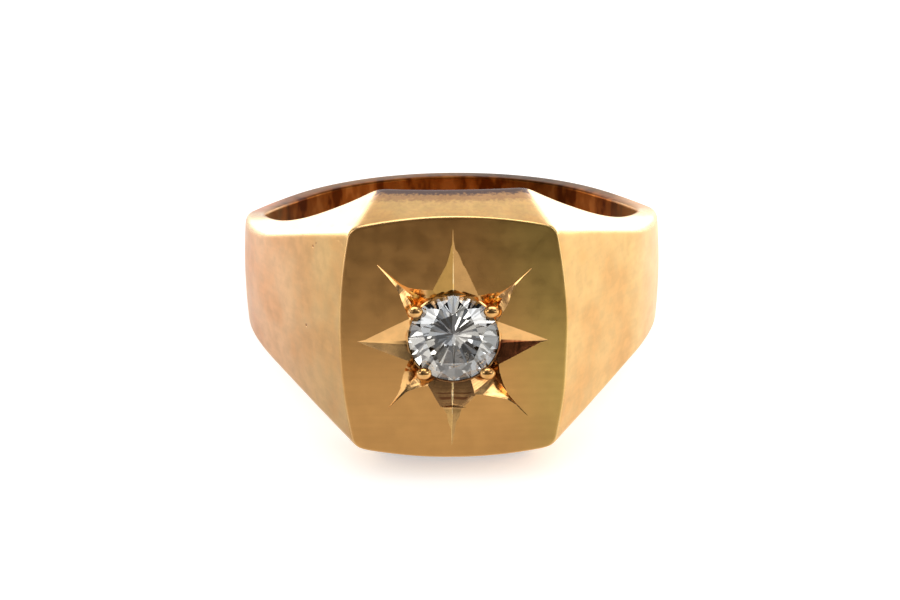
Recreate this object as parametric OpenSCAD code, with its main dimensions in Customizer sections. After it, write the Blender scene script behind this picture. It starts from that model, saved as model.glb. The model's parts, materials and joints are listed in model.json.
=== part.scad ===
// Square-headed gold signet ring with a round brilliant held in a star cut.
// The ring lies on its side as it rests by itself: the head is at -Y and tipped up a little,
// the back of the band is at +Y, and Z = 0 is the surface that the ring lies on.

/* [Band] */
// Inside diameter, where the finger goes
inside_d = 19; // [17:0.5:21]
// Thickness of the wall at the back
back_wall = 1.15; // [0.95:0.05:1.5]
// Width of the band at the back
back_w = 4.22; // [3.4:0.02:4.6]
// Radius of the slightly rounded outer surface, across the band
crown_r = 29; // [26:1:40]

/* [Head] */
// Thickness of the metal from the finger hole to the flat face
head_wall = 2.5; // [2.45:0.05:3]
// Height of the face along its middle
face_h = 11.78; // [11:0.02:12.2]
// Radius of the bowed top and bottom sides of the head
side_r = 22.3; // [18:0.1:30]
// Angle at which the top and bottom sides spread towards the finger
side_spread = 16.6; // [10:0.1:20]
// Distance from the middle of the face to its corners, sideways
corner_x = 4.65; // [4.4:0.05:4.8]

/* [Shoulders] */
// Angle from the middle of the face to where the straight shoulders leave the round band
shoulder_angle = 59.3; // [57:0.1:61]
// Slope of the rims down from the corners of the face
rim_slope = 33.5; // [31:0.1:34]
// Lean of the rims towards the face
rim_lean = 5.5; // [4:0.1:7]
// Radius of the hollow sweep from the rims to the back
sweep_r = 26.9; // [26:0.1:30]
// Distance behind the finger's axis at which the sweep starts
sweep_start = 6.1; // [5.5:0.1:6.5]

/* [Stone] */
// Diameter of the brilliant
stone_d = 4.24; // [4:0.02:4.4]
// Height of the stone's middle above the middle of the face
stone_up = 0.1; // [0:0.05:0.2]
// Depth of the stone's widest edge below the face
girdle_depth = 0.25; // [0.2:0.01:0.3]
// Thickness of that edge
girdle_t = 0.08; // [0.04:0.01:0.1]
// Width of the flat top, as a share of the diameter
table_share = 0.58; // [0.52:0.01:0.62]
// Slope of the facets above the edge
crown_angle = 34; // [32:0.5:36]
// Slope of the facets below the edge
pavilion_angle = 40.5; // [39.5:0.25:41]
// Gap all round between the stone and the metal
seat_gap = 0.05; // [0.03:0.01:0.06]

/* [Star] */
// Distance from the middle of the stone to the grains that hold it
grain_reach = 2.33; // [2.3:0.01:2.4]
// Radius of a grain
grain_r = 0.3; // [0.26:0.01:0.31]
// Depth of the four large rays beside the stone
large_ray_depth = 0.6; // [0.45:0.05:0.7]
// Depth of the four small rays beside the stone
small_ray_depth = 0.5; // [0.4:0.05:0.6]

/* [Hidden] */
$fn = 128;
gold = "goldenrod";
clear = "aliceblue";
big = 40;

bore_r = inside_d / 2;
outer_r = bore_r + back_wall;
face_reach = bore_r + head_wall;
// Nothing of the metal is nearer the axis or further along it than these.
core_r = 4;
core_h = 8;

// How far a bowed line of radius r has dropped at a distance x from its middle
function sag(r, x) = r - sqrt(r * r - x * x);

// Height of the head's bowed side above the ring's middle, at a place seen from above
function side_z(x, y) = face_h / 2 + (y + face_reach) * tan(side_spread)
    - sag(side_r, x) / cos(side_spread);

corner_z = side_z(corner_x, -face_reach);

// Height of a rim's plane there
function rim_z(x, y) = corner_z - (x - corner_x) * tan(rim_slope)
    + (y + face_reach) * tan(rim_lean) / cos(rim_slope);

// Place on the front edge of the finger hole
function bore_y(x) = -sqrt(bore_r * bore_r - x * x);

// Where the bowed side meets a rim on that edge, found by halving the range a number of times
function crease_x(low, high, times) =
    let (middle = (low + high) / 2)
    times == 0 ? middle
    : side_z(middle, bore_y(middle)) < rim_z(middle, bore_y(middle)) ? crease_x(middle, high, times - 1)
    : crease_x(low, middle, times - 1);

// The ring rests on the inner ends of the two lower creases and on the lower outer edge of the back.
rest_x = crease_x(0, corner_x, 20);
rest_y = bore_y(rest_x);
rest_z = side_z(rest_x, rest_y);
back_edge_r = outer_r - sag(crown_r, back_w / 2);
rest_tilt = atan2(rest_z - back_w / 2, back_edge_r - rest_y);
rest_lift = rest_z * cos(rest_tilt) + rest_y * sin(rest_tilt);
front_y = -face_reach * cos(rest_tilt) - face_h / 2 * sin(rest_tilt);
back_y = back_edge_r * cos(rest_tilt) + back_w / 2 * sin(rest_tilt);

stone_r = stone_d / 2;
table_r = stone_r * table_share;
crown_h = (stone_r - table_r) * tan(crown_angle);
pavilion_h = stone_r * tan(pavilion_angle);
seat_r = stone_r + seat_gap;
seat_depth = girdle_depth + girdle_t + seat_gap;

// The rays of the star, each with the direction of its tip on the face, anticlockwise from the right.
RAY_ANGLE = 0;
RAY_REACH = 1;
RAY_HALF_WIDTH = 2;
large_rays = [
    [0, 4.4, 1.0],
    [90, 4.8, 1.06],
    [181, 4.45, 1.0],
    [270, 4.9, 1.14],
];
small_rays = [
    [45, 4.2, 0.62],
    [134, 4.2, 0.62],
    [229, 4.1, 0.62],
    [314, 4.2, 0.62],
];
grain_angles = [39, 141, 230, 315];
// The rays' widths and depths are measured here, and their cuts run on to ray_root, inside the seat.
ray_base = 2.2;
ray_root = 1.5;
// How far the cuts are drawn out past the face, as a share of their size
overcut = 1.3;

// A section across the band's outer side, from inside the finger hole outwards
module outer_section() {
    intersection() {
        translate([outer_r - crown_r, 0]) circle(r = crown_r, $fn = 512);
        translate([core_r, -core_h]) square([outer_r, 2 * core_h]);
    }
}

// One straight shoulder, from where it leaves the round band to the middle of the head
module shoulder() {
    intersection() {
        rotate([0, 0, shoulder_angle - 90]) rotate([90, 0, 0])
            linear_extrude(height = 2 * outer_r) outer_section();
        translate([0, -big, -big / 2]) cube([big, 2 * big, big]);
    }
}

// Band, shoulders and head as seen along the finger's axis, full height and with no hole
module outline() {
    rotate([0, 0, shoulder_angle - 90])
        rotate_extrude(angle = 360 - 2 * shoulder_angle, $fn = 256) outer_section();
    shoulder();
    mirror([1, 0, 0]) shoulder();
}

// The space between the head's bowed top and bottom sides, seen from the front
module head_side() {
    translate([0, -face_reach, face_h / 2]) rotate([side_spread - 90, 0, 0])
        translate([0, side_r, 0]) cylinder(r = side_r, h = 2 * big, center = true, $fn = 512);
}

// What is cut away above one rim
module above_rim() {
    translate([corner_x, -face_reach, corner_z]) rotate([rim_lean, rim_slope, 0])
        translate([-big / 2, -big / 4, 0]) cube([big, big, big / 2]);
}

// What is cut away above the hollow sweep and the back of the band
module above_back() {
    // In front of this the rims are lower than the sweep would be.
    sweep_end = -5.5;
    intersection() {
        translate([0, sweep_start, back_w / 2 + sweep_r]) rotate([0, 90, 0])
            cylinder(r = sweep_r, h = big, center = true, $fn = 512);
        translate([-big / 2, sweep_end, 0]) cube([big, sweep_start - sweep_end, 2 * core_h]);
    }
    translate([-big / 2, sweep_start, back_w / 2]) cube([big, big, 2 * core_h]);
}

// Moves a shape whose Z axis points out of the face to the middle of the stone
module on_face() {
    translate([0, -face_reach, stone_up]) rotate([90, 0, 0]) children();
}

// One V-shaped cut that is widest and deepest beside the stone and runs out at its tip
module ray_cut(ray, depth) {
    growth = (ray[RAY_REACH] - ray_root) / (ray[RAY_REACH] - ray_base);
    root = [ray_root, 0, -depth * growth];
    tip = [ray[RAY_REACH], 0, 0];
    side = [ray_root, ray[RAY_HALF_WIDTH] * growth, 0];
    other_side = [ray_root, -ray[RAY_HALF_WIDTH] * growth, 0];
    corners = [for (corner = [tip, side, other_side]) root + overcut * (corner - root)];
    rotate([0, 0, ray[RAY_ANGLE]])
        polyhedron(points = concat([root], corners), faces = [[0, 1, 2], [0, 3, 1], [0, 2, 3], [1, 3, 2]]);
}

// The seat that the stone drops into
module stone_seat() {
    above_face = 1;
    point_depth = seat_depth + seat_r * tan(pavilion_angle);
    rotate_extrude()
        polygon([[0, -point_depth], [seat_r, -seat_depth], [seat_r, above_face], [0, above_face]]);
}

// One grain of metal, raised beside the stone and pushed over its edge
module grain(angle) {
    stem_r = grain_reach - seat_r;
    stem_h = 2 * small_ray_depth;
    rotate([0, 0, angle]) translate([grain_reach, 0, 0]) {
        sphere(r = grain_r, $fn = 48);
        translate([0, 0, -stem_h]) cylinder(r = stem_r, h = stem_h, $fn = 48);
    }
}

// Turns and lifts the ring from its own frame, with Z along the finger, to how it lies
module lying() {
    translate([0, -(front_y + back_y) / 2, rest_lift]) rotate([-rest_tilt, 0, 0]) children();
}

module signet_body() {
    color(gold) lying() {
        difference() {
            intersection() {
                outline();
                translate([-big / 2, -face_reach, -big / 2]) cube([big, big, big]);
                head_side();
                mirror([0, 0, 1]) head_side();
            }
            for (left = [0, 1], low = [0, 1])
                mirror([left, 0, 0]) mirror([0, 0, low]) above_rim();
            for (low = [0, 1])
                mirror([0, 0, low]) above_back();
            cylinder(r = bore_r, h = big, center = true, $fn = 256);
            on_face() {
                stone_seat();
                for (ray = large_rays) ray_cut(ray, large_ray_depth);
                for (ray = small_rays) ray_cut(ray, small_ray_depth);
            }
        }
        on_face() for (angle = grain_angles) grain(angle);
    }
}

// A corner of the stone at a radius, an angle and a height above its widest edge
function corner(r, angle, z) = [r * cos(angle), r * sin(angle), z];

// The round brilliant. Its widest edge's top is at Z = 0 and its flat top faces +Z.
module brilliant() {
    mains = 8;
    sides = 2 * mains;
    step = 360 / sides;
    turns = [0:mains - 1];
    // How far from the middle the lower facets beside the edge reach, as a share of the radius
    lower_share = 0.23;
    // The points between the table and the edge, and those between the edge and the culet, lie in
    // the planes of the kite facets beside them.
    star_r = (table_r * cos(step) + stone_r) / 2;
    star_z = crown_h * (stone_r - star_r * cos(step)) / (stone_r - table_r);
    lower_r = stone_r * lower_share;
    lower_z = -girdle_t - pavilion_h * (stone_r - lower_r * cos(step)) / stone_r;
    // Where each ring of points starts in the list
    table_at = 0;
    star_at = table_at + mains;
    top_at = star_at + mains;
    bottom_at = top_at + sides;
    lower_at = bottom_at + sides;
    culet_at = lower_at + mains;
    points = concat(
        [for (k = turns) corner(table_r, 2 * k * step, crown_h)],
        [for (k = turns) corner(star_r, (2 * k + 1) * step, star_z)],
        [for (k = [0:sides - 1]) corner(stone_r, k * step, 0)],
        [for (k = [0:sides - 1]) corner(stone_r, k * step, -girdle_t)],
        [for (k = turns) corner(lower_r, (2 * k + 1) * step, lower_z)],
        [[0, 0, -girdle_t - pavilion_h]]
    );
    function next(k) = (k + 1) % mains;
    function before(k) = (k + mains - 1) % mains;
    function around(k) = k % sides;
    faces = concat(
        [[for (k = [mains - 1:-1:0]) table_at + k]],
        [for (k = turns) [table_at + k, table_at + next(k), star_at + k]],
        [for (k = turns) [table_at + k, star_at + k, top_at + 2 * k, star_at + before(k)]],
        [for (k = turns) [star_at + k, top_at + 2 * k + 1, top_at + 2 * k]],
        [for (k = turns) [star_at + k, top_at + around(2 * k + 2), top_at + 2 * k + 1]],
        [for (k = [0:sides - 1])
            [top_at + k, top_at + around(k + 1), bottom_at + around(k + 1), bottom_at + k]],
        [for (k = turns) [lower_at + k, bottom_at + 2 * k, bottom_at + 2 * k + 1]],
        [for (k = turns) [lower_at + k, bottom_at + 2 * k + 1, bottom_at + around(2 * k + 2)]],
        [for (k = turns) [culet_at, lower_at + before(k), bottom_at + 2 * k, lower_at + k]]
    );
    polyhedron(points = points, faces = faces);
}

module diamond() {
    color(clear) lying() on_face() translate([0, 0, -girdle_depth]) brilliant();
}

signet_body();
diamond();
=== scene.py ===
import json
import math

import bmesh
import bpy
import numpy as np
from mathutils import Matrix, Vector


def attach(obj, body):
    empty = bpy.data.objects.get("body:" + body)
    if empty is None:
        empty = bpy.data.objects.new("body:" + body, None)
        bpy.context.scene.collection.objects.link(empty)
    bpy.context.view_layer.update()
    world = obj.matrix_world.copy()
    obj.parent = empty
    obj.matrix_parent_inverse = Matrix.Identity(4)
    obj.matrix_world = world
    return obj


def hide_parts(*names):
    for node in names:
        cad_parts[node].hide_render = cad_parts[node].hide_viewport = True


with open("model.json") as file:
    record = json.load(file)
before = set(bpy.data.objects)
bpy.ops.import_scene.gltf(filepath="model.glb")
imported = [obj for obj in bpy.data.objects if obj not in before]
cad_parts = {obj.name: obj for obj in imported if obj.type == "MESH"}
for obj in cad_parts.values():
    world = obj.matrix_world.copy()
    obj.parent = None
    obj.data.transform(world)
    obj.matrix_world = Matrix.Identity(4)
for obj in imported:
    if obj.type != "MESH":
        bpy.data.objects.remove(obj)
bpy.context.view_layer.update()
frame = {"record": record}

# Lengths are in millimetres in the ring's own frame, until to_row turns them into metres as the
# ring lies. In that frame Z runs along the finger and the face of the head looks along -Y.
MM = 0.001
bore = [m for m in frame["record"]["mounts"] if m["name"] == "finger_bore"][0]
bore_middle = np.array(bore["pos_m"]) / MM
tilt_sin = bore["axis"][1]
tilt_cos = bore["axis"][2]
RING_TO_ROW = np.array([[1, 0, 0], [0, tilt_cos, tilt_sin], [0, -tilt_sin, tilt_cos]])


def to_row(points):
    """Places as the ring lies, in metres, from points of its own frame."""
    return (np.asarray(points) @ RING_TO_ROW.T + bore_middle) * MM


def turned(vectors):
    """Directions as the ring lies, from directions of its own frame."""
    return np.asarray(vectors) @ RING_TO_ROW.T


# Shape of the metal: the finger hole, the band's crowned outside, and the domed face of the head
BORE_R = 9.5
OUTER_R = 10.65
CROWN_R = 29
FACE_REACH = 12
HALF_FACE = 5.89
FACE_DOME_R = 260
# The head's upper and lower sides are bowed, and lean out from the face
SIDE_R = 22.3
SIDE_SPREAD = math.radians(16.6)
# Flat shoulders touch the band at this angle from the middle of the face
SHOULDER = math.radians(59.3)
# Beside the corners of the face, rims slope down along the shoulders
CORNER_X = 4.65
RIM_SLOPE = math.radians(33.5)
RIM_LEAN = math.radians(5.5)
# The sweep is an arc between two places along Y, which ends at the narrow back
SWEEP_R = 26.9
SWEEP_START = 6.1
SWEEP_END = -5.5
BACK_HALF = 2.11
# How fast the limit rises in front of the sweep, so that it cuts nothing there
SWEEP_BEND = 0.15

# How far each edge is worn round
SIDE_RIM_WEAR = 0.2
SWEEP_WEAR = 0.5
RIM_WEAR = 0.22
CORNER_WEAR = 0.3
BACK_WEAR = 0.3
FACE_WEAR = 0.11
BORE_WEAR = 0.18
HEAD_BORE_WEAR = 0.3


def sag(radius, distance):
    """How far an arc drops at a distance from its middle."""
    return radius - np.sqrt(radius**2 - distance**2)


# Slope of the sweep where it ends
END_DROP = SWEEP_START - SWEEP_END
END_SLOPE = END_DROP / math.sqrt(SWEEP_R**2 - END_DROP**2)
CORNER_Z = HALF_FACE - sag(SIDE_R, CORNER_X) / math.cos(SIDE_SPREAD)


def side_z(x, y):
    """Height of the head's bowed upper side."""
    return HALF_FACE + (y + FACE_REACH) * math.tan(SIDE_SPREAD) - sag(SIDE_R, x) / math.cos(SIDE_SPREAD)


def rim_z(x, y):
    """Height of the rim that slopes down beside a corner of the face."""
    lean = (y + FACE_REACH) * math.tan(RIM_LEAN) / math.cos(RIM_SLOPE)
    return CORNER_Z - (x - CORNER_X) * math.tan(RIM_SLOPE) + lean


def back_z(y):
    """Height of the sweep, and of the narrow back behind it."""
    top = BACK_HALF + SWEEP_R
    drop = np.clip(SWEEP_START - y, 0, SWEEP_START - SWEEP_END)
    sweep = top - np.sqrt(SWEEP_R**2 - drop**2)
    ahead = np.maximum(SWEEP_END - y, 0)
    return sweep + END_SLOPE * ahead + SWEEP_BEND * ahead**2


def top_z(x, y):
    """Height of the sharp upper side, all round the ring."""
    return np.minimum(np.minimum(side_z(x, y), rim_z(x, y)), back_z(y))


def outer_reach(angle, z):
    """Distance from the ring's axis to the sharp outer surface, at an angle from the middle of the face."""
    angle = np.abs(angle)
    band = (OUTER_R - sag(CROWN_R, z)) / np.cos(np.minimum(angle - SHOULDER, 0))
    face = FACE_REACH / np.maximum(np.cos(angle), 0.1)
    return np.minimum(band, face)


def worn_max(a, b, wear):
    """The larger of two distances, and a little more where they meet, which rounds the edge there."""
    return np.maximum(a, b) + np.maximum(wear - np.abs(a - b), 0) ** 2 / (4 * wear)


def smooth_share(low, high, value):
    """Rises smoothly from 0 to 1 as a value rises from low to high."""
    share = np.clip((value - low) / (high - low), 0, 1)
    return share * share * (3 - 2 * share)


# Waves that cross the metal in all directions
rng = np.random.default_rng(11)
WAVE_COUNT = 14
WAVE_LENGTHS = rng.uniform(2.2, 6.0, WAVE_COUNT)
wave_directions = rng.normal(size=(WAVE_COUNT, 3))
wave_directions /= np.linalg.norm(wave_directions, axis=1)[:, None]
WAVES = wave_directions * (2 * math.pi / WAVE_LENGTHS)[:, None]
WAVE_STARTS = rng.uniform(0, 2 * math.pi, WAVE_COUNT)
WAVE_HEIGHT = 0.0022


def wave(points):
    """A slight unevenness of a surface that was filed and worn by hand."""
    return np.sin(points @ WAVES.T + WAVE_STARTS).sum(axis=1)


def distances(points):
    """Distance outside each of the sharp surfaces that bound the metal, negative inside it."""
    x = np.abs(points[:, 0])
    y = points[:, 1]
    z = np.abs(points[:, 2])
    around = np.arctan2(x, -y)
    flat = x * math.sin(SHOULDER) - y * math.cos(SHOULDER)
    reach = np.where(around < SHOULDER, flat, np.hypot(x, y))
    out = reach - (OUTER_R - sag(CROWN_R, z))
    face = -y - FACE_REACH + (x**2 + z**2) / (2 * FACE_DOME_R)
    across = (z - HALF_FACE) * math.cos(SIDE_SPREAD) - (y + FACE_REACH) * math.sin(SIDE_SPREAD)
    side = np.hypot(x, across + SIDE_R) - SIDE_R
    rim = (z - rim_z(x, y)) * math.cos(RIM_SLOPE) * math.cos(RIM_LEAN)
    drop = np.clip(SWEEP_START - y, 0, END_DROP)
    back = (z - back_z(y)) * np.sqrt(1 - (drop / SWEEP_R) ** 2)
    inside = BORE_R - np.hypot(x, y)
    return out, face, side, rim, back, inside


def field(points):
    """Distance outside the worn surface, negative in the metal."""
    out, face, side, rim, back, inside = distances(points)
    y = points[:, 1]
    unevenness = wave(points)
    top = worn_max(side, rim, SIDE_RIM_WEAR)
    top = worn_max(top, back, SWEEP_WEAR)
    # The outer edge is worn as a corner near the face, then as a rim, and then as the back
    to_rim = smooth_share(-FACE_REACH + 0.6, -FACE_REACH + 3, y)
    to_back = smooth_share(0, 7, y)
    wear = CORNER_WEAR + (RIM_WEAR - CORNER_WEAR) * to_rim + (BACK_WEAR - RIM_WEAR) * to_back
    whole = worn_max(out, top, wear)
    whole = worn_max(whole, face, FACE_WEAR * (1 + 0.05 * unevenness))
    at_head = 1 - smooth_share(-FACE_REACH + 3, -FACE_REACH + 4.5, y)
    whole = worn_max(whole, inside, BORE_WEAR + (HEAD_BORE_WEAR - BORE_WEAR) * at_head)
    return whole + WAVE_HEIGHT * (1 + unevenness / WAVE_COUNT)


def slope(points):
    """Direction in which the field grows fastest."""
    step = 0.002
    parts = []
    for axis in range(3):
        move = np.zeros(3)
        move[axis] = step
        parts.append((field(points + move) - field(points - move)) / (2 * step))
    return np.stack(parts, axis=1)


def pulled_on(points):
    """Moves points that are near the worn surface onto it."""
    for _ in range(5):
        away = slope(points)
        points = points - away * (field(points) / (away**2).sum(axis=1))[:, None]
    return points


def unit(vectors):
    return vectors / np.linalg.norm(vectors, axis=-1, keepdims=True)


def mesh_object(name, points, faces, materials=(), indices=None):
    mesh = bpy.data.meshes.new(name)
    mesh.from_pydata([tuple(p) for p in points], [], faces)
    for material in materials:
        mesh.materials.append(material)
    if indices is not None:
        mesh.polygons.foreach_set("material_index", indices)
    made = bpy.data.objects.new(name, mesh)
    bpy.context.scene.collection.objects.link(made)
    return made


def spread(length, offsets, count):
    """Places along a length, close together at its start as the offsets say and even after them."""
    share = np.minimum(1, 0.45 * length / offsets[-1])
    start = share[:, None] * offsets[None, :]
    even = np.linspace(0, 1, count + 1)[None, 1:]
    rest = start[:, -1:] + (length[:, None] - start[:, -1:]) * even
    return np.hstack([start, rest])


# Columns of the metal's mesh. One column on each side follows the edges of the face and of the head.
CREASE = math.radians(22)
CREASE_END = math.radians(60)
near_crease = np.radians([0.18, 0.36, 0.6, 0.95, 1.45, 2.1])
face_columns = np.linspace(0, CREASE - near_crease[-1], 19)[:-1]
rest_columns = np.linspace(CREASE + near_crease[-1], math.pi, 138)
half_columns = np.concatenate([
    face_columns, CREASE - near_crease[::-1], [CREASE], CREASE + near_crease[:-1], rest_columns,
])
columns = np.concatenate([half_columns, -half_columns[-2:0:-1]])


def follow(column, crease_angle):
    """Angle of a column at a place where the crease is at crease_angle."""
    size = np.abs(column)
    fade = (1 + np.cos(math.pi * (size - CREASE) / (CREASE_END - CREASE))) / 2
    weight = np.where(size < CREASE, size / CREASE, np.where(size < CREASE_END, fade, 0))
    return column + np.sign(column) * weight * (crease_angle - CREASE)


def face_edge_angle(z):
    x = (OUTER_R - sag(CROWN_R, z) - FACE_REACH * math.cos(SHOULDER)) / math.sin(SHOULDER)
    return np.arctan(x / FACE_REACH)


def head_edge_angle(reach):
    """Angle of the crease between the head's bowed side and a rim, at a distance from the axis."""
    low = np.zeros_like(reach)
    high = np.full_like(reach, CORNER_X + 1)
    for _ in range(40):
        middle = (low + high) / 2
        y = -np.sqrt(reach**2 - middle**2)
        before = side_z(middle, y) < rim_z(middle, y)
        low = np.where(before, middle, low)
        high = np.where(before, high, middle)
    return np.arcsin(low / reach)


def at_angle(angle, reach, z):
    return np.stack([reach * np.sin(angle), -reach * np.cos(angle), z], axis=-1)


def metal_skin():
    """Points and faces of the worn metal before the star is cut."""
    count = len(columns)
    edge_offsets = np.array([0, 0.04, 0.09, 0.15, 0.22, 0.31, 0.42, 0.55, 0.7])
    top_offsets = np.array([0, 0.05, 0.1, 0.16, 0.24, 0.34])
    # Outer edge of each column
    corner_angle = float(face_edge_angle(np.array(CORNER_Z)))
    edge_angle = follow(columns, corner_angle)
    edge_z = np.full(count, CORNER_Z)
    for _ in range(60):
        edge_reach = outer_reach(edge_angle, edge_z)
        edge_z = top_z(np.abs(edge_reach * np.sin(edge_angle)), -edge_reach * np.cos(edge_angle))
    # Outer side, from its middle up to the edge
    down = spread(edge_z, edge_offsets, 22)
    outer_rows = []
    for row in down.T[::-1]:
        z = edge_z - row
        angle = follow(columns, face_edge_angle(z * CORNER_Z / edge_z))
        outer_rows.append(at_angle(angle, outer_reach(angle, z), z))
    # Top, from the outer edge in to the finger hole
    width = edge_reach - BORE_R
    half_in = spread(width / 2, edge_offsets[:-1], 3)
    half_out = spread(width / 2, top_offsets, 4)
    inward = np.hstack([half_in, width[:, None] - half_out[:, -2::-1]])
    corner_reach = FACE_REACH / math.cos(corner_angle)
    top_rows = []
    for row in inward.T[1:]:
        reach = edge_reach - row
        share = (reach - BORE_R) / width
        angle = follow(columns, head_edge_angle(BORE_R + share * (corner_reach - BORE_R)))
        x = np.abs(reach * np.sin(angle))
        top_rows.append(at_angle(angle, reach, top_z(x, -reach * np.cos(angle))))
    # Finger hole, from its edge to its middle
    hole_edge = top_rows[-1]
    hole_angle = np.arctan2(hole_edge[:, 0], -hole_edge[:, 1])
    hole_down = spread(hole_edge[:, 2], top_offsets, 12)
    hole_rows = []
    for row in hole_down.T[1:]:
        hole_rows.append(at_angle(hole_angle, np.full(count, BORE_R), hole_edge[:, 2] - row))
    upper = outer_rows + top_rows + hole_rows
    lower = [row * [1, 1, -1] for row in upper[-2:0:-1]]
    rows = np.stack(upper + lower)
    points = pulled_on(rows.reshape(-1, 3))
    row_count = len(rows)
    faces = []
    for row in range(row_count):
        next_row = (row + 1) % row_count
        for column in range(count):
            next_column = (column + 1) % count
            faces.append((
                row * count + column, row * count + next_column,
                next_row * count + next_column, next_row * count + column,
            ))
    return points, faces


# The star, in the plane of the face: x to the right, z up, and depth into the metal. The stone sits a
# little below the star's middle.
STAR_UP = 0.1
STONE_UP = 0.0
# How far the cutting pieces stand out of the face
OVER_FACE = 0.07
# The stone. Shares are of its radius, and each half facet meets the girdle in a few short lines.
STONE_R = 2.1
GIRDLE_DEPTH = 0.25
GIRDLE = 0.1
CROWN_ANGLE = math.radians(30)
PAVILION_ANGLE = math.radians(42.6)
TABLE_SHARE = 0.62
LOWER_SHARE = 0.1
ARC_STEPS = 4
# Its seat
SEAT_ANGLE = math.radians(43)
SEAT_GAP = 0.02
SEAT_R = STONE_R + SEAT_GAP
SEAT_DEPTH = GIRDLE_DEPTH + GIRDLE + SEAT_GAP
SEAT_POINT = SEAT_DEPTH + SEAT_R * math.tan(SEAT_ANGLE)
SEAT_TIP_R = 0.02
SEAT_TIP = 0.01
OVER_SEAT = 0.5
# The thin rim round the seat: flat at the seat, and then sloping down to its outer edge
STONE_RIM_WIDTH = 0.075
STONE_RIM_FLAT = 0.02
STONE_RIM_DEPTH = 0.19
STONE_RIM_DROP = 0.03
STONE_RIM_ROOT = 0.4
# Grains, with the direction and distance of each from the star's middle
GRAINS = [(144, 2.2), (35.5, 2.17), (231, 2.25), (311.5, 2.36)]
GRAIN_R = 0.38
GRAIN_UP = 0.03
# Shares of a grain's radius into the face and up the face
GRAIN_DEEP = 0.6
GRAIN_TALL = 0.8
# The stem that joins each grain to the metal beside the seat
STEM_R = 0.24
STEM_HALF = 0.6
STEM_DEPTH = 0.35


def on_face(x, z, depth):
    """Points of the ring's frame from places on the domed face."""
    dome = (np.square(x) + np.square(z)) / (2 * FACE_DOME_R)
    return np.stack(np.broadcast_arrays(x, -FACE_REACH + dome + depth, z), axis=-1)


def closed(name, points, faces, materials, indices=None):
    """A closed piece with its faces turned outwards."""
    made = mesh_object(name, points, faces, materials, indices)
    volume = 0
    for face in faces:
        for k in range(1, len(face) - 1):
            a, b, c = points[face[0]], points[face[k]], points[face[k + 1]]
            volume += np.dot(a, np.cross(b, c))
    if volume < 0:
        made.data.flip_normals()
    return made


def loft(name, sections, materials, floor_side=1):
    """A closed piece through sections of as many points each. One side has the second material."""
    sides = len(sections[0])
    faces = [tuple(range(sides))[::-1]]
    indices = [0]
    for k in range(len(sections) - 1):
        for side in range(sides):
            after = (side + 1) % sides
            indices.append(int(side == floor_side))
            faces.append((k * sides + side, k * sides + after,
                          (k + 1) * sides + after, (k + 1) * sides + side))
    last = (len(sections) - 1) * sides
    faces.append(tuple(range(last, last + sides)))
    indices.append(0)
    return closed(name, np.concatenate(sections), faces, materials, indices)


def ray(name, angle, stations, materials, middle=0.0, strip=0.035, lean=0.0):
    """One groove of the star. Each station has its distance from the star's middle, its half widths to the
    left and right as seen from the stone, and its depth. The floor is a narrow strip, to one side of the
    middle where that is not zero, and its right edge is higher by lean."""
    angle = math.radians(angle)
    along = np.array([math.cos(angle), math.sin(angle)])
    across = np.array([-math.sin(angle), math.cos(angle)])
    sections = []
    for reach, left, right, depth in stations:
        size = (left + right) / 2
        share = min(1, size)
        floor_left = middle * size + strip * share
        floor_right = middle * size - strip * share
        widening = OVER_FACE / depth
        shape = [
            (left + (left - floor_left) * widening, -OVER_FACE),
            (floor_left, depth),
            (floor_right, depth - lean * share),
            (-right - (right + floor_right) * widening, -OVER_FACE),
        ]
        points = []
        for side, low in shape:
            x, z = along * reach + across * side
            points.append(on_face(x, z + STAR_UP, low))
        sections.append(np.array(points))
    return loft(name, sections, materials)


def revolved(name, profile, material, sides=96):
    """A closed piece turned around the stone's middle, from points of radius and depth."""
    points = []
    for radius, depth in profile[1:-1]:
        for k in range(sides):
            turn = 2 * math.pi * k / sides
            x = radius * math.cos(turn)
            z = radius * math.sin(turn) + STONE_UP
            points.append(np.array([x, -FACE_REACH + depth, z]))
    count = len(profile) - 2
    faces = []
    for ring in range(count - 1):
        for k in range(sides):
            after = (k + 1) % sides
            faces.append((ring * sides + k, ring * sides + after,
                          (ring + 1) * sides + after, (ring + 1) * sides + k))
    for end, ring in ((profile[0], 0), (profile[-1], count - 1)):
        points.append(np.array([0, -FACE_REACH + end[1], STONE_UP]))
        for k in range(sides):
            pair = (ring * sides + (k + 1) % sides, ring * sides + k)
            faces.append((len(points) - 1, *(pair if ring == 0 else pair[::-1])))
    return closed(name, points, faces, [material])


def ball(name, middle, radii, material, rings=12, sides=24):
    """A closed ellipsoid whose middle radius is into the face."""
    points = [middle + np.array([0, -radii[1], 0])]
    for ring in range(1, rings):
        polar = math.pi * ring / rings
        for k in range(sides):
            turn = 2 * math.pi * k / sides
            points.append(middle + np.array([
                radii[0] * math.sin(polar) * math.cos(turn),
                -radii[1] * math.cos(polar),
                radii[2] * math.sin(polar) * math.sin(turn),
            ]))
    points.append(middle + np.array([0, radii[1], 0]))
    faces = []
    last = len(points) - 1
    for k in range(sides):
        after = (k + 1) % sides
        faces.append((0, 1 + k, 1 + after))
        faces.append((last, last - sides + after, last - sides + k))
        for ring in range(rings - 2):
            low = 1 + ring * sides
            faces.append((low + k, low + sides + k, low + sides + after, low + after))
    return closed(name, points, faces, [material])


def combine(base, tool, operation):
    """Cuts or joins a closed piece and takes the tool away."""
    change = base.modifiers.new("combine", "BOOLEAN")
    change.operation = operation
    change.solver = "MANIFOLD"
    change.material_mode = "TRANSFER"
    change.object = tool
    graph = bpy.context.evaluated_depsgraph_get()
    result = bpy.data.meshes.new_from_object(base.evaluated_get(graph))
    base.modifiers.clear()
    base.data = result
    bpy.data.objects.remove(tool)


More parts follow.
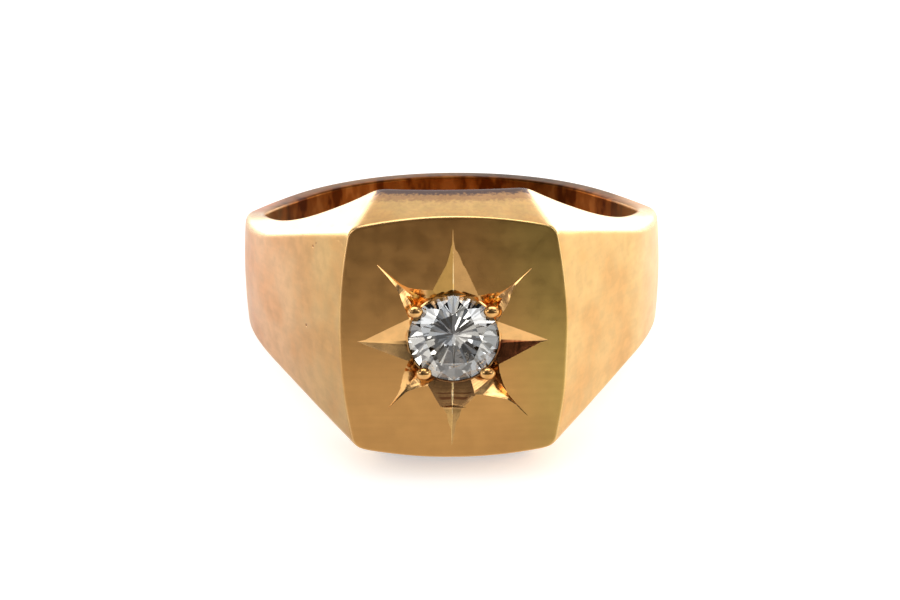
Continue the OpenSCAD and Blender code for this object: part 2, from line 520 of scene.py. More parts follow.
# Materials
def new_material(name):
    """A material and what adds nodes to it."""
    made = bpy.data.materials.new(name)
    made.use_nodes = True
    return made, Nodes(made.node_tree)


class Nodes:
    """Adds nodes to a tree. Each input is a plain value or the output of another node."""

    def __init__(self, tree):
        self.tree = tree

    def fill(self, node, inputs):
        for key, value in inputs.items():
            if isinstance(value, bpy.types.NodeSocket):
                self.tree.links.new(value, node.inputs[key])
            else:
                node.inputs[key].default_value = value

    def shade(self, inputs):
        """Fills inputs of the material's own shader."""
        self.fill(self.tree.nodes["Principled BSDF"], inputs)

    def add(self, kind, inputs, output=0, **settings):
        node = self.tree.nodes.new("ShaderNode" + kind)
        for name, value in settings.items():
            setattr(node, name, value)
        self.fill(node, inputs)
        return node.outputs[output]

    def math(self, operation, *values):
        return self.add("Math", dict(enumerate(values)), operation=operation)

    def product(self, a, b):
        return self.math("MULTIPLY", a, b)

    def total(self, a, b):
        return self.math("ADD", a, b)

    def less(self, a, b):
        """What is left of a without b."""
        return self.math("SUBTRACT", a, b)

    def size(self, value):
        return self.math("ABSOLUTE", value)

    def off(self, value, middle):
        """How far a value is from a middle."""
        return self.size(self.less(value, middle))

    def vector(self, operation, a, b, output=0):
        return self.add("VectorMath", {0: a, 1: b}, output, operation=operation)

    def parts(self, vector):
        return self.add("SeparateXYZ", {0: vector}).node.outputs

    def span(self, value, low, high, start=0.0, end=1.0):
        """Goes smoothly from start to end as a value rises from low to high."""
        inputs = {"Value": value, "From Min": low, "From Max": high, "To Min": start, "To Max": end}
        return self.add("MapRange", inputs, interpolation_type="SMOOTHSTEP")

    def noise(self, where, scale, stretch=(1, 1, 1), detail=2.0):
        where = self.vector("MULTIPLY", where, stretch)
        return self.add("TexNoise", {"Vector": where, "Scale": scale, "Detail": detail})

    def mix(self, share, a, b, **settings):
        return self.add("Mix", {0: share, 6: a, 7: b}, 2, data_type="RGBA", **settings)

    def times(self, a, b):
        """The product of two colours."""
        return self.mix(1.0, a, b, blend_type="MULTIPLY")

    def grey(self, value):
        return self.add("CombineXYZ", {0: value, 1: value, 2: value})

    def object_place(self):
        """Place as the ring lies, in metres."""
        return self.add("TexCoord", {}, "Object")

    def ring_place(self):
        """Place in the ring's own frame, in millimetres."""
        back_to_ring = -(RING_TO_ROW.T @ bore_middle)
        turn = math.atan2(tilt_sin, tilt_cos)
        return self.add("Mapping", {"Vector": self.object_place(), "Location": back_to_ring,
                                    "Rotation": (turn, 0, 0), "Scale": (1 / MM, 1 / MM, 1 / MM)})

    def mark(self, name):
        return self.add("Attribute", {}, "Fac", attribute_name=name)

    def seen_by(self, rays):
        """1 for a kind of light rays, such as Is Glossy Ray, and 0 for the others."""
        return self.add("LightPath", {}, rays)

    def bump(self, height):
        """The normal of a surface whose height is given in millimetres."""
        return self.add("Bump", {"Height": height, "Distance": MM, "Strength": 1.0})


# Colours of the metal
LEFT_OUTER_GOLD = (0.88, 0.54, 0.31, 1)
LEFT_GOLD = (0.70, 0.45, 0.18, 1)
RIGHT_GOLD = (0.79, 0.5, 0.2, 1)
RIGHT_OUTER_GOLD = (0.94, 0.69, 0.38, 1)
BLOTCH_TINT = (0.93, 0.84, 0.76, 1)
FACE_GOLD = (0.68, 0.36, 0.117, 1)
FACE_GREEN = (0.60, 0.40, 0.12, 1)
EDGE_HIGHLIGHT_GOLD = (0.95, 0.68, 0.36, 1)
CUT_GOLD = (0.85, 0.5, 0.2, 1)
STRIP_GREY = (0.135, 0.09, 0.082, 1)
STRIP_TINT = (0.69, 0.62, 0.73, 1)
BACK_TINT = (1.0, 0.82, 0.88, 1)
SPECKLE_TINT = (0.9, 0.84, 0.92, 1)
RIM_HIGHLIGHT_GOLD = (0.97, 0.76, 0.48, 1)
HOLE_DARK = (0.12, 0.025, 0.003, 1)
HOLE_MIDDLE = (0.3, 0.085, 0.013, 1)
HOLE_LIGHT = (0.43, 0.145, 0.03, 1)
INNER_GOLD = (0.72, 0.4, 0.14, 1)
TOP_LEFT_SHADED_GOLD = (0.38, 0.22, 0.065, 1)
TOP_RIGHT_GOLD = (0.58, 0.33, 0.116, 1)
KITE_GOLD = (0.5, 0.3, 0.11, 1)
STRIPE_GOLD = (0.3, 0.09, 0.035, 1)
POCKET_RED = (0.6, 0.27, 0.08, 1)
RED_GOLD = (0.75, 0.24, 0.09, 1)
# Small pits in the metal: middle and radius
PITS = [((-7.02, -9.04, -0.21), 0.1), ((-6.56, -9.32, 3.81), 0.09), ((-6.4, -9.53, 4.01), 0.06)]


def band_colour(g, place):
    """The band and the shoulders, whose gold is paler and pinker at the left end and paler at the right."""
    x, _, z = g.parts(place)
    gold = g.mix(g.span(x, -10, -5.5), LEFT_OUTER_GOLD, LEFT_GOLD)
    low = g.grey(g.span(z, -5.5, 1, 0.84, 1.0))
    gold = g.mix(g.span(x, -4, 5), g.times(gold, low), RIGHT_GOLD)
    gold = g.mix(g.span(x, 8.5, 10.5), gold, RIGHT_OUTER_GOLD)
    blotch = g.span(g.noise(place, 0.4, detail=3.0), 0.4, 0.62)
    return g.mix(blotch, gold, g.times(gold, BLOTCH_TINT))


def face_colour(g, place):
    """The face, greener on the right, and darker at the bottom and the lower right."""
    x, _, z = g.parts(place)
    green = g.span(g.total(x, g.product(z, 0.2)), 1.2, 5.2)
    gold = g.times(g.mix(green, FACE_GOLD, FACE_GREEN), g.grey(g.span(z, -6, -1, 0.79, 1.0)))
    return g.times(gold, g.grey(g.span(g.less(x, z), 4.0, 9.0, 1.0, 0.86)))


def back_colour(g, place, gold, patch):
    """The top of the band's back, pinker, and dark with painted shade but for its ends."""
    x = g.parts(place)[0]
    # Painted shade, deepest around x = 3.8, and none at the ends
    shade = g.span(g.off(x, 3.8), 0.5, 7.0, 0.17, 0.52)
    shade = g.math("MAXIMUM", shade, g.span(g.size(x), 7.8, 9.8, 0.0, 1.0))
    shade = g.total(shade, g.span(patch, 0.4, 0.6, -0.05, 0.05))
    return g.times(g.times(gold, BACK_TINT), g.grey(shade))


def hole_colour(g, place, patch):
    """The finger hole, plain behind the head, and in the back painted dark and patchy as shade and dark
    reflections.
    """
    x, y, _ = g.parts(place)
    shade_patches = g.mix(g.span(patch, 0.38, 0.52), HOLE_DARK, HOLE_MIDDLE)
    shade_patches = g.mix(g.span(patch, 0.52, 0.66), shade_patches, HOLE_LIGHT)
    # Painted shade: deepest around x = 4.9, in the middle and at the left end, and on the worn edge at the
    # back, painted over a bright reflection
    shade = g.span(g.off(x, 4.9), 0.8, 2.6, 0.5, 1.15)
    shade = g.product(shade, g.span(x, -8.0, -3.0, 0.75, 1.0))
    shade = g.product(shade, g.span(g.size(x), 2.5, 6.5, 0.6, 1.0))
    back_edge = g.product(g.mark("edge"), g.mark("back"))
    shade = g.product(shade, g.span(back_edge, 0.0, 1.0, 1.0, 0.42))
    plain = g.mix(g.span(patch, 0.4, 0.6, 0.0, 0.35), INNER_GOLD, HOLE_LIGHT)
    return g.mix(g.span(y, 0.0, 5.0), plain, g.times(shade_patches, g.grey(shade)))


def satin_gold():
    """The worn skin of the metal."""
    made, g = new_material("satin_gold")
    place = g.ring_place()
    at_face = g.mark("face")
    at_edge = g.mark("edge")
    at_hole = g.mark("hole")
    gold = g.mix(at_face, band_colour(g, place), face_colour(g, place))
    # An uneven tone, weaker on the face, and lines from filing
    lines = g.noise(place, 1.0, (0.35, 1, 4.5), 1.0)
    grain = g.span(g.noise(place, 1.6, detail=2.5), 0.3, 0.7, -0.07, 0.07)
    grain = g.product(grain, g.span(at_face, 0.0, 1.0, 1.0, 0.3))
    gold = g.times(gold, g.grey(g.total(grain, g.span(lines, 0.3, 0.7, 0.98, 1.02))))
    # A painted highlight on the rims, speckles on the top of the head, and worn edges painted paler as a
    # highlight
    gold = g.mix(g.product(g.mark("rim"), 0.6), gold, RIM_HIGHLIGHT_GOLD)
    speckle = g.span(g.noise(place, 5.0), 0.42, 0.6, 0.0, 0.55)
    gold = g.mix(g.product(speckle, g.mark("head")), gold, g.times(gold, SPECKLE_TINT))
    gold = g.mix(g.product(at_edge, 0.45), gold, EDGE_HIGHLIGHT_GOLD)
    # Painted dark reflection and painted shade: a grey-purple strip along the head's inner edge, a darker
    # top of the band's back, and a dark, patchy finger hole at the back
    strip = g.total(g.mark("strip"), g.span(g.noise(place, 6.0, detail=3.0), 0.3, 0.7, -0.09, 0.09))
    gold = g.mix(g.span(strip, 0.12, 0.4), gold, g.times(gold, STRIP_TINT))
    gold = g.mix(g.span(strip, 0.5, 0.72), gold, STRIP_GREY)
    patch = g.noise(place, 1.2, (1, 1, 0.4), 3.0)
    gold = g.mix(g.mark("back"), gold, back_colour(g, place, gold, patch))
    gold = g.mix(at_hole, gold, hole_colour(g, place, patch))
    # Pits
    pit_depth = 0.0
    for middle, radius in PITS:
        away = g.vector("DISTANCE", place, middle, "Value")
        pit_depth = g.total(pit_depth, g.span(away, radius * 0.4, radius, 1.0, 0.0))
    gold = g.mix(g.product(pit_depth, 0.7), gold, HOLE_MIDDLE)
    # The denoiser takes metal smoother than about 0.27 for a mirror, and leaves specks where the roughness
    # crosses that value, so the plain skin stays above it.
    rough = g.span(g.noise(place, 1.1), 0.3, 0.7, 0.285, 0.35)
    rough = g.total(rough, g.product(at_hole, 0.08))
    rough = g.less(rough, g.product(at_edge, 0.06))
    # Fine scratches follow thin bands of a noise, in some places only and not on the face
    band = g.off(g.noise(place, 0.7, detail=1.0), 0.5)
    scratch = g.product(g.span(band, 0.001, 0.005, 1.0, 0.0), g.span(g.noise(place, 0.5), 0.55, 0.62))
    scratch = g.product(scratch, g.less(1.0, at_face))
    height = g.product(g.noise(place, 0.8), 0.006)
    height = g.total(height, g.product(lines, g.span(at_face, 0.0, 1.0, 0.0006, 0.0001)))
    height = g.less(height, g.product(scratch, 0.003))
    height = g.less(height, g.product(pit_depth, 0.03))
    g.shade({"Base Color": gold, "Metallic": 1.0, "Roughness": rough, "Normal": g.bump(height)})
    return made


def polished_gold():
    """The metal where it was cut with a graver. The top ray is darker than the others, with its left wall
    in painted shade, and so is the shallow end of the bottom one. The lower side of the right one has
    painted red shade."""
    made, g = new_material("polished_gold")
    place = g.ring_place()
    x, y, z = g.parts(place)
    low = g.span(z, -0.2, -0.1, 1.0, 0.0)
    # Painted shade on the top ray, deeper on its left wall than on its right
    top_ray_shade = g.product(g.span(z, 1.7, 2.1), g.span(g.size(x), 1.1, 1.4, 1.0, 0.0))
    gold = g.mix(top_ray_shade, CUT_GOLD, g.mix(g.span(x, -0.02, 0.02), TOP_LEFT_SHADED_GOLD, TOP_RIGHT_GOLD))
    gold = g.mix(g.span(z, -3.5, -3.4, 1.0, 0.0), gold, KITE_GOLD)
    # Painted shade on the lower wall of the right ray, redder and darker
    red = g.product(g.product(g.span(x, 1.9, 2.2), low), g.span(z, -1.5, -1.2))
    gold = g.mix(red, gold, RED_GOLD)
    # Painted shade in dark stripes across the deep parts of the bottom and right rays
    reach = g.vector("DISTANCE", place, (0.0, -FACE_REACH, STAR_UP), "Value")
    along = g.add("CombineXYZ", {0: reach})
    deep = g.span(y, -FACE_REACH + 0.05, -FACE_REACH + 0.12)
    corner = g.math("MINIMUM", g.size(x), g.size(z))
    stripe = g.product(g.span(g.noise(along, 6.0), 0.46, 0.6), g.product(low, deep))
    stripe = g.product(stripe, g.span(x, -1.4, -1.2))
    stripe = g.product(stripe, g.span(corner, 1.1, 1.3, 1.0, 0.0))
    gold = g.mix(g.product(stripe, 0.75), gold, STRIPE_GOLD)
    # Painted shade, red, at the bottom of the small rays
    pocket = g.product(g.span(corner, 1.2, 1.4), g.span(y, -FACE_REACH + 0.3, -FACE_REACH + 0.4))
    gold = g.mix(g.product(pocket, 0.6), gold, POCKET_RED)
    # Painted shade below the stone, and on the wall that ends the deep part of the bottom ray, where it
    # hides a bright reflection
    tone = g.span(g.noise(place, 1.8, detail=3.0), 0.35, 0.65, 0.93, 1.05)
    shade_below_stone = g.product(g.span(reach, 2.0, 3.4, 0.65, 0.0), low)
    tone = g.product(tone, g.less(1.0, shade_below_stone))
    tone = g.product(tone, g.span(g.off(z, -3.36), 0.03, 0.05, 0.75, 1.0))
    rough = g.span(g.noise(place, 2.5, detail=3.0), 0.3, 0.7, 0.12, 0.2)
    chatter = g.span(y, -FACE_REACH + 0.08, -FACE_REACH + 0.2, 0.0006, 0.01)
    height = g.product(g.noise(along, 5.0), chatter)
    height = g.total(height, g.product(g.noise(place, 3.0), 0.002))
    g.shade({"Base Color": g.times(gold, g.grey(tone)), "Metallic": 1.0, "Roughness": rough,
             "Normal": g.bump(height)})
    return made


def mottled_gold(name, dark, light):
    """Metal that is smooth but not bright, with a mottled colour: rubbed on the grains, and with pale
    colours as painted highlights on the pocket floors and the lines in the rays.
    """
    made, g = new_material(name)
    place = g.ring_place()
    gold = g.mix(g.span(g.noise(place, 3.0, detail=4.0), 0.35, 0.65), dark, light)
    rough = g.span(g.noise(place, 4.0), 0.35, 0.65, 0.17, 0.25)
    height = g.product(g.noise(place, 3.5, detail=3.0), 0.012)
    g.shade({"Base Color": gold, "Metallic": 1.0, "Roughness": rough, "Normal": g.bump(height)})
    return made


def clear_stone():
    made, g = new_material("clear_stone")
    place = g.ring_place()
    tint = g.mix(g.span(g.noise(place, 0.6), 0.4, 0.6), (0.97, 0.98, 1.0, 1), (1.0, 0.99, 0.97, 1))
    rough = g.span(g.noise(place, 4.0), 0.6, 0.8, 0.0, 0.01)
    g.shade({"Base Color": tint, "Roughness": rough, "Transmission Weight": 1.0, "IOR": 2.42})
    return made


gold_skin = satin_gold()
gold_cut = polished_gold()
gold_grain = mottled_gold("mottled_gold", (0.66, 0.34, 0.11, 1), (0.84, 0.5, 0.2, 1))
# Pocket floors and the lines at the bottom of some rays: pale gold painted as highlights
pocket_glint_gold = mottled_gold("pocket_floor_glint", (0.9, 0.46, 0.1, 1), (1.0, 0.7, 0.2, 1))
glint_line_gold = mottled_gold("painted_glint_line", (0.95, 0.62, 0.22, 1), (0.98, 0.78, 0.46, 1))
clear = clear_stone()

# The metal before it is cut. The cuts bring the materials after the first.
body_materials = [gold_skin, gold_cut, gold_grain, glint_line_gold, pocket_glint_gold]
skin_points, skin_faces = metal_skin()
body = closed("worn_signet_body", skin_points, skin_faces, body_materials)

# The large rays, which start under the stone. The bottom one is a short deep groove and a long shallow
# one. Materials are those of the walls and of the strip at the bottom, in some a painted highlight line.
RAY_START = 2.0
plain = [gold_cut, gold_cut]
lined = [gold_cut, glint_line_gold]
large_rays = [
    dict(angle=89.8, materials=lined, strip=0.03, stations=[
        (RAY_START, 1.1, 1.18, 0.4), (3.53, 0.32, 0.46, 0.13), (4.1, 0.15, 0.23, 0.06),
        (4.5, 0.05, 0.06, 0.03), (5.2, 0.012, 0.012, 0.01),
    ]),
    dict(angle=-2.3, materials=plain, middle=-0.24, strip=0.1, stations=[
        (RAY_START, 0.86, 1.34, 0.42), (4.38, 0.012, 0.012, 0.01),
    ]),
    dict(angle=182, materials=plain, middle=0.26, strip=0.12, stations=[
        (RAY_START, 1.12, 1.03, 0.42), (4.47, 0.012, 0.012, 0.01),
    ]),
    dict(angle=268.5, materials=lined, strip=0.045, lean=0.045, stations=[
        (RAY_START, 1.6, 1.4, 0.5), (2.86, 1.05, 0.92, 0.36), (3.44, 0.52, 0.58, 0.22),
        (3.48, 0.49, 0.54, 0.08),
    ]),
    dict(angle=268.5, materials=lined, stations=[
        (3.2, 0.6, 0.6, 0.07), (3.5, 0.45, 0.45, 0.055), (4.2, 0.2, 0.2, 0.035), (5.38, 0.01, 0.01, 0.006),
    ]),
]
for number, row in enumerate(large_rays):
    combine(body, ray(f"ray_{number}", **row), "DIFFERENCE")

# The small rays. Their widths are stations without the depth, which is steep times the half width on the
# side that is lower in the picture, and at most DEEPEST. The tip is the distance at which the ray ends. A
# pocket behind the grain has stations of distance, half width and depth.
LEFT = 0
RIGHT = 1
DEEPEST = 0.6
TIP_HALF = 0.012
TIP_DEPTH = 0.008
SMALL_STRIP = 0.012
POCKET_STRIP = 0.6
upper_pocket = dict(floor=pocket_glint_gold, stations=[(2.25, 0.42, 0.55), (3.0, 0.24, 0.15)])
lower_pocket = dict(floor=gold_cut, stations=[(2.25, 0.4, 0.5), (2.75, 0.24, 0.3)])
small_rays = [
    dict(angle=42.6, tip=4.9, lower_side=RIGHT, steep=0.5, pocket=upper_pocket, widths=[
        (RAY_START, 0.85, 0.85), (2.5, 0.53, 0.66), (2.9, 0.25, 0.55), (3.05, 0.15, 0.48),
        (3.3, 0.09, 0.31), (3.8, 0.035, 0.09), (4.3, 0.025, 0.035),
    ]),
    dict(angle=134.3, tip=4.96, lower_side=LEFT, steep=0.57, pocket=upper_pocket, widths=[
        (RAY_START, 0.85, 1.15), (2.36, 0.7, 0.92), (2.72, 0.54, 0.61), (2.93, 0.45, 0.43),
        (3.26, 0.28, 0.22), (3.6, 0.16, 0.11), (4.2, 0.08, 0.06),
    ]),
    dict(angle=228.2, tip=4.65, lower_side=LEFT, steep=0.83, pocket=lower_pocket, widths=[
        (RAY_START, 0.95, 0.9), (2.59, 0.64, 0.72), (2.8, 0.48, 0.6), (3.02, 0.34, 0.51),
        (3.25, 0.22, 0.38), (3.5, 0.11, 0.23), (4.1, 0.05, 0.08),
    ]),
    dict(angle=311.2, tip=5.22, lower_side=RIGHT, steep=0.8, pocket=lower_pocket, widths=[
        (RAY_START, 0.9, 1.35), (2.73, 0.45, 1.18), (3.05, 0.3, 0.86), (3.35, 0.17, 0.62),
        (3.7, 0.07, 0.36), (3.95, 0.035, 0.17), (4.4, 0.03, 0.05),
    ]),
]


def cut_small_ray(number, angle, widths, tip, lower_side, steep, pocket):
    stations = [(reach, *sides, min(steep * sides[lower_side], DEEPEST)) for reach, *sides in widths]
    stations.append((tip, TIP_HALF, TIP_HALF, TIP_DEPTH))
    groove = ray(f"small_ray_{number}", angle, stations, plain, strip=SMALL_STRIP)
    combine(body, groove, "DIFFERENCE")
    stations = [(reach, half, half, depth) for reach, half, depth in pocket["stations"]]
    hollow = ray(f"pocket_{number}", angle, stations, [gold_cut, pocket["floor"]], strip=POCKET_STRIP)
    combine(body, hollow, "DIFFERENCE")


for number, row in enumerate(small_rays):
    cut_small_ray(number, **row)

# The rim and the seat, as profiles of radius and depth
rim_r = SEAT_R + STONE_RIM_WIDTH
rim_root = SEAT_DEPTH + STONE_RIM_ROOT
rim_profile = [
    (0, rim_root), (rim_r, rim_root), (rim_r, STONE_RIM_DEPTH + STONE_RIM_DROP),
    (SEAT_R + STONE_RIM_FLAT, STONE_RIM_DEPTH), (0, STONE_RIM_DEPTH),
]
combine(body, revolved("rim", rim_profile, gold_cut), "UNION")
seat_profile = [
    (0, SEAT_POINT), (SEAT_TIP_R, SEAT_POINT - SEAT_TIP), (SEAT_R, SEAT_DEPTH), (SEAT_R, -OVER_SEAT),
    (0, -OVER_SEAT),
]
combine(body, revolved("seat", seat_profile, gold_grain), "DIFFERENCE")


def beside_stone(turn, reach, depth):
    """A place on the face or below it, at a direction and distance from the star's middle."""
    return on_face(reach * math.cos(turn), reach * math.sin(turn) + STAR_UP, depth)


def add_grain(number, turn, reach):
    radii = (GRAIN_R, GRAIN_R * GRAIN_DEEP, GRAIN_R * GRAIN_TALL)
    top = ball(f"grain_{number}", beside_stone(turn, reach, -GRAIN_UP), radii, gold_grain)
    middle = beside_stone(turn, max(reach, SEAT_R + STEM_R), STEM_DEPTH)
    stem = ball(f"stem_{number}", middle, (STEM_R, STEM_HALF, STEM_R), gold_grain)
    combine(body, top, "UNION")
    combine(body, stem, "UNION")


for number, (angle, reach) in enumerate(GRAINS):
    add_grain(number, math.radians(angle), reach)


def read(items, name, kind=int, width=1):
    """One property of a mesh's points, faces or corners, in rows where it has more than one number."""
    values = np.zeros(len(items) * width, kind)
    items.foreach_get(name, values)
    return values if width == 1 else values.reshape(-1, width)


def mark_metal(mesh, points):
    """Stores for the materials how much each point is a part of the face, the finger hole and so on."""
    out, face, side, rim, back, inside = distances(points)
    y = points[:, 1]
    top = np.maximum(np.maximum(side, rim), back)
    outside = np.maximum(out, top)
    sharp = np.maximum(np.maximum(outside, face), inside)
    above_hole = inside - np.maximum(outside, face)
    at_head = 1 - smooth_share(-FACE_REACH + 3.2, -FACE_REACH + 4.2, y)
    at_back = smooth_share(-1.0, 2.5, y) * smooth_share(-0.15, 0.0, top - out)
    at_face = smooth_share(-0.03, 0.03, face - outside)
    at_top = smooth_share(-0.1, 0.0, top - out)
    head = at_head * at_top * smooth_share(-0.06, 0.02, side - rim)
    marks = {
        "face": at_face,
        "hole": smooth_share(-0.12 - 0.6 * at_back, 0.02, above_hole),
        "edge": smooth_share(0.008, 0.03, -sharp),
        "strip": head * np.clip(1 + inside / 1.5, 0, 1) * (1 - at_face),
        "back": at_back,
        "head": head * (1 - at_face),
        "rim": at_top * smooth_share(-0.2, 0.35, rim - side) * (1 - at_back) * (1 - at_face),
    }
    for name, values in marks.items():
        mesh.attributes.new(name, "FLOAT", "POINT").data.foreach_set("value", values)


# Edges in the cuts that turn by more than this stay sharp
SHARP_ANGLE = math.radians(24)


def finish_metal(mesh):
    """Marks the metal and puts it where the ring lies. The worn skin has its own normals, and the cuts have
    flat or softly turned ones."""
    points = read(mesh.vertices, "co", float, 3)
    slots = read(mesh.polygons, "material_index")
    loop_slots = np.repeat(slots, read(mesh.polygons, "loop_total"))
    loop_vertices = read(mesh.loops, "vertex_index")
    mesh.set_sharp_from_angle(angle=SHARP_ANGLE)
    edge_slots = [set() for _ in mesh.edges]
    for edge, slot_number in zip(read(mesh.loops, "edge_index"), loop_slots):
        edge_slots[edge].add(int(slot_number))
    for edge, found in zip(mesh.edges, edge_slots):
        if len(found) > 1:
            edge.use_edge_sharp = True
    mark_metal(mesh, points)
    skin_normals = turned(unit(slope(points)))
    is_skin = loop_slots[:, None] == 0
    loop_normals = np.where(is_skin, skin_normals[loop_vertices], 0)
    mesh.vertices.foreach_set("co", to_row(points).ravel())
    mesh.update()
    mesh.normals_split_custom_set([tuple(n) for n in loop_normals])
    print("body faces", len(mesh.polygons), "slots", np.bincount(slots))


finish_metal(body.data)
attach(body, "root")
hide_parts("signet_body")


def brilliant(material):
    """The round brilliant, with its table outwards. Heights are above the girdle's upper edge."""
    mains = 8
    halves = 2 * mains
    step = math.pi / mains
    table_r = STONE_R * TABLE_SHARE
    crown_h = (STONE_R - table_r) * math.tan(CROWN_ANGLE)
    pavilion_h = STONE_R * math.tan(PAVILION_ANGLE)
    star_r = (table_r * math.cos(step) + STONE_R) / 2
    star_h = crown_h * (STONE_R - star_r * math.cos(step)) / (STONE_R - table_r)
    lower_r = STONE_R * LOWER_SHARE
    lower_h = -GIRDLE - pavilion_h * (STONE_R - lower_r * math.cos(step)) / STONE_R

    def circle(radius, turn, height, number=mains):
        angles = turn + 2 * math.pi * np.arange(number) / number
        return np.stack([radius * np.cos(angles), radius * np.sin(angles), np.full(number, height)], axis=1)

    def girdle_line(tips, height):
        """A round edge that stays in the planes of the facets between their tips and the corners."""
        line = circle(STONE_R, 0, height, halves * ARC_STEPS)
        for half in range(halves):
            first = half * ARC_STEPS
            corner = line[first]
            next_corner = line[(first + ARC_STEPS) % len(line)]
            normal = np.cross(next_corner - corner, tips[half // 2] - corner)
            for k in range(first + 1, first + ARC_STEPS):
                line[k, 2] = corner[2] - np.dot(normal[:2], line[k, :2] - corner[:2]) / normal[2]
        return line

    star_points = circle(star_r, step, star_h)
    lower_points = circle(lower_r, step, lower_h)
    rings = [
        circle(table_r, 0, crown_h), star_points, lower_points,
        girdle_line(star_points, 0.0), girdle_line(lower_points, -GIRDLE),
        np.array([[0, 0, -GIRDLE - pavilion_h]]),
    ]
    table, star, lower, high, low, culet = np.cumsum([0] + [len(ring) for ring in rings[:-1]])
    round_count = halves * ARC_STEPS
    faces = [tuple(range(mains))]
    for k in range(mains):
        before = (k - 1) % mains
        corner = 2 * k * ARC_STEPS
        faces.append((table + k, table + (k + 1) % mains, star + k))
        faces.append((table + k, star + k, high + corner, star + before))
        faces.append((culet, lower + before, low + corner, lower + k))
    for half in range(halves):
        arc = [(half * ARC_STEPS + k) % round_count for k in range(ARC_STEPS + 1)]
        faces.append((star + half // 2, *(high + k for k in arc)))
        faces.append((lower + half // 2, *(low + k for k in arc)))
    for k in range(round_count):
        after = (k + 1) % round_count
        faces.append((high + k, high + after, low + after, low + k))
    x, z, height = np.concatenate(rings).T
    points = np.stack([x, -FACE_REACH + GIRDLE_DEPTH - height, z + STONE_UP], axis=1)
    faces = [tuple(int(k) for k in face) for face in faces]
    return mesh_object("brilliant", to_row(points), faces, [material])


stone = brilliant(clear)
fix = bmesh.new()
fix.from_mesh(stone.data)
bmesh.ops.recalc_face_normals(fix, faces=fix.faces)
fix.to_mesh(stone.data)
fix.free()
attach(stone, "root")
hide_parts("diamond")

# Floor
FLOOR_HALF = 2.0
FLOOR_WHITE = (0.9, 0.9, 0.9, 1)
FLOOR_GLOW = 0.44


def panel(name, corners, material):
    return mesh_object(name, corners, [(0, 1, 2, 3)], [material])


def pale_floor():
    """Pale to the camera. As the metal reflects it, it is a little darker and pinker on the left, and seen
    through the stone it is dark, with lighter patches."""
    made, g = new_material("pale_floor")
    place = g.object_place()
    x = g.parts(place)[0]
    tint = g.mix(g.span(x, -0.014, 0.014), (0.66, 0.64, 0.64, 1), (0.88, 0.86, 0.80, 1))
    colour = g.mix(g.seen_by("Is Glossy Ray"), FLOOR_WHITE, tint)
    patch = g.span(g.noise(place, 60.0), 0.4, 0.6)
    dark = g.mix(patch, (0.09, 0.085, 0.08, 1), (0.3, 0.29, 0.28, 1))
    colour = g.mix(g.seen_by("Is Transmission Ray"), colour, dark)
    g.shade({"Base Color": colour, "Emission Color": colour, "Emission Strength": FLOOR_GLOW,
             "Roughness": 0.9, "Specular IOR Level": 0.0})
    return made


floor_corners = [
    (-FLOOR_HALF, -FLOOR_HALF, 0), (FLOOR_HALF, -FLOOR_HALF, 0), (FLOOR_HALF, FLOOR_HALF, 0),
    (-FLOOR_HALF, FLOOR_HALF, 0),
]
floor = panel("floor", floor_corners, pale_floor())

# World: a bright backdrop, a plainer sky, and a dark side in front where the room is
scene = bpy.context.scene
world = bpy.data.worlds.new("studio")
scene.world = world
world.use_nodes = True
sky = Nodes(world.node_tree)
direction = sky.add("TexCoord", {}, "Generated")
dir_x, dir_y, dir_z = sky.parts(direction)


def facing(way, low, high, start, end):
    """Goes smoothly from start to end as the sky's direction turns from low to high degrees off."""
    dot = sky.vector("DOT_PRODUCT", direction, Vector(way).normalized(), "Value")
    return sky.span(dot, math.cos(math.radians(high)), math.cos(math.radians(low)), end, start)


# The small lights that the metal reflects: direction of the right one of each pair. Then the lamps that
# only the stone shows: direction and size in degrees.
METAL_LAMP_PAIRS = [(0.9, -0.43, 0.03), (0.62, -0.61, 0.47), (0.28, -0.33, 0.9)]
METAL_LAMP_SIZE = 6
METAL_LAMP_LEVEL = 3.0
STONE_LAMPS = [
    ((-0.55, -0.7, 0.3), 6), ((-0.72, -0.55, 0.2), 5), ((-0.4, -0.85, 0.2), 3), ((-0.6, -0.45, 0.65), 4),
    ((0.75, -0.65, 0.1), 4), ((-0.1, -0.3, 0.95), 5), ((-0.1, -0.75, 0.5), 3),
]
STONE_LAMP_FADE = 3
STONE_LAMP_LEVEL = 2.6


def metal_light():
    """What the metal reflects: a glow behind the ring with a dark flag low in its middle, the dark room in
    front, a light above, a faint one at the upper right, and small ones in pairs."""
    behind = sky.span(dir_y, -0.1, 0.35)
    glow = sky.product(sky.span(dir_z, 0.15, 0.5, 3.1, 0.0), behind)
    room = facing((0, -0.9, 0.43), 60, 80, 0.07, 1.0)
    flag_across = sky.span(sky.size(dir_x), 0.2, 0.36, 0.1, 1.0)
    flag_up = sky.span(dir_z, 0.2, 0.34)
    flag_behind = sky.span(dir_y, 0.0, 0.3, 1.0, 0.0)
    flag = sky.math("MAXIMUM", sky.math("MAXIMUM", flag_across, flag_up), flag_behind)
    light = sky.product(sky.product(sky.total(glow, 0.9), room), flag)
    light = sky.total(light, facing((0, 0.1, 1), 16, 26, METAL_LAMP_LEVEL, 0.0))
    light = sky.total(light, facing((0.32, -0.7, 0.64), 6, 20, 0.3, 0.0))
    for x, y, z in METAL_LAMP_PAIRS:
        for side in (1, -1):
            lamp = facing((side * x, y, z), METAL_LAMP_SIZE, 2 * METAL_LAMP_SIZE, METAL_LAMP_LEVEL, 0.0)
            light = sky.total(light, lamp)
    return light


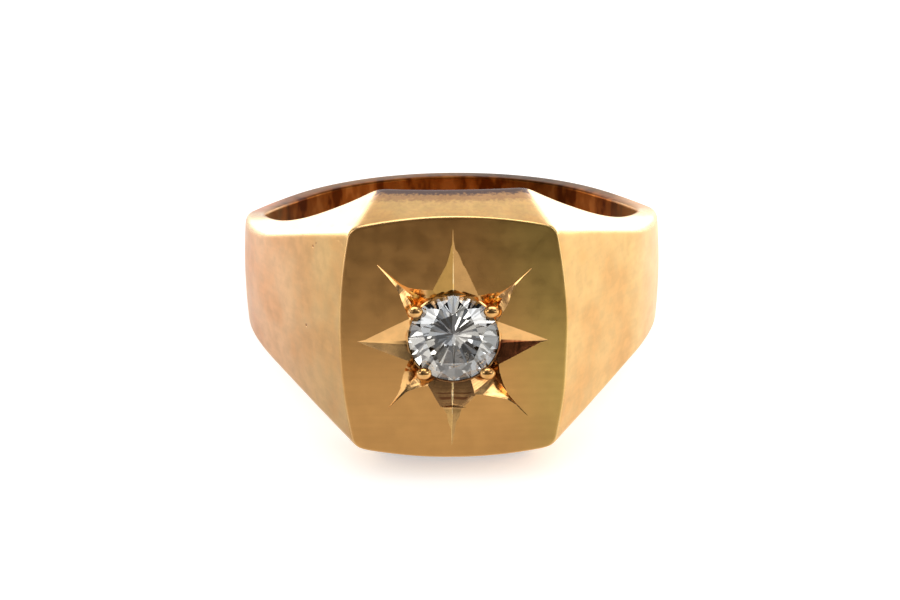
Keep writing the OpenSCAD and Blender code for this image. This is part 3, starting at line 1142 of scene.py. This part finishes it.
def stone_light():
    """What is seen through the stone: a sky with patches, darker in front, and the stone's lamps."""
    patches = sky.span(sky.noise(direction, 5.0, detail=1.0), 0.42, 0.58, 0.4, 1.2)
    light = sky.product(facing((0, -1, 0.1), 18, 42, 0.18, 0.66), patches)
    for way, size in STONE_LAMPS:
        light = sky.total(light, facing(way, size, size + STONE_LAMP_FADE, STONE_LAMP_LEVEL, 0.0))
    return light


by_metal = sky.seen_by("Is Glossy Ray")
by_stone = sky.seen_by("Is Transmission Ray")
level = sky.add("Mix", {0: by_metal, 2: 1.0, 3: metal_light()})
level = sky.add("Mix", {0: by_stone, 2: level, 3: stone_light()})
stone_colour = sky.mix(sky.span(dir_x, -0.3, 0.35), (1.0, 0.96, 0.87, 1), (0.86, 0.9, 0.93, 1))
colour = sky.mix(by_stone, (1.0, 0.99, 0.97, 1), stone_colour)
sky.fill(world.node_tree.nodes["Background"], {"Strength": level, "Color": colour})

# A dark card that stands for the room in front, seen only in reflections
CARD_Y = -0.06
CARD_HALF = 0.07
CARD_TOP = 0.03


def dark_card():
    """Darkest in the middle, in front of the head."""
    made, g = new_material("dark_card")
    x = g.parts(g.object_place())[0]
    colour = g.mix(g.span(g.size(x), 0.02, 0.034), (0.05, 0.035, 0.02, 1), (0.19, 0.165, 0.16, 1))
    g.shade({"Base Color": colour, "Roughness": 1.0, "Specular IOR Level": 0.0})
    return made


card_corners = [
    (-CARD_HALF, CARD_Y, 0), (CARD_HALF, CARD_Y, 0), (CARD_HALF, CARD_Y, CARD_TOP),
    (-CARD_HALF, CARD_Y, CARD_TOP),
]
card = panel("front_card", card_corners, dark_card())
card.visible_camera = False
card.visible_diffuse = False
card.visible_shadow = False
card.visible_transmission = False

# Camera. Its distance is in millimetres, and the middle of the finger hole is some pixels above and
# beside the middle of the photograph.
CAMERA_DISTANCE = 110
CAMERA_TURN = math.radians(0.26)
CAMERA_UP = math.radians(17.24)
CAMERA_ROLL = math.radians(-0.47)
FOCAL_PIXELS = 2125
PICTURE_WIDTH = 900
BORE_ABOVE_MIDDLE = 36.8
BORE_BESIDE_MIDDLE = 2.1
to_camera = np.array([
    -math.sin(CAMERA_TURN) * math.cos(CAMERA_UP),
    -math.cos(CAMERA_TURN) * math.cos(CAMERA_UP),
    math.sin(CAMERA_UP),
])
camera_data = bpy.data.cameras.new("camera")
camera = bpy.data.objects.new("camera", camera_data)
scene.collection.objects.link(camera)
camera_data.sensor_width = 36
camera_data.lens = FOCAL_PIXELS / PICTURE_WIDTH * camera_data.sensor_width
camera_data.clip_start = 0.005
camera_data.clip_end = 10
camera.location = to_row(to_camera * CAMERA_DISTANCE)
look = Vector(-turned(to_camera)).to_track_quat("-Z", "Y").to_matrix()
down = Matrix.Rotation(-math.atan(BORE_ABOVE_MIDDLE / FOCAL_PIXELS), 3, "X")
aside = Matrix.Rotation(math.atan(BORE_BESIDE_MIDDLE / FOCAL_PIXELS), 3, "Y")
roll = Matrix.Rotation(CAMERA_ROLL, 3, "Z")
camera.rotation_euler = (look @ aside @ down @ roll).to_euler()
scene.camera = camera
scene.view_settings.view_transform = "Standard"
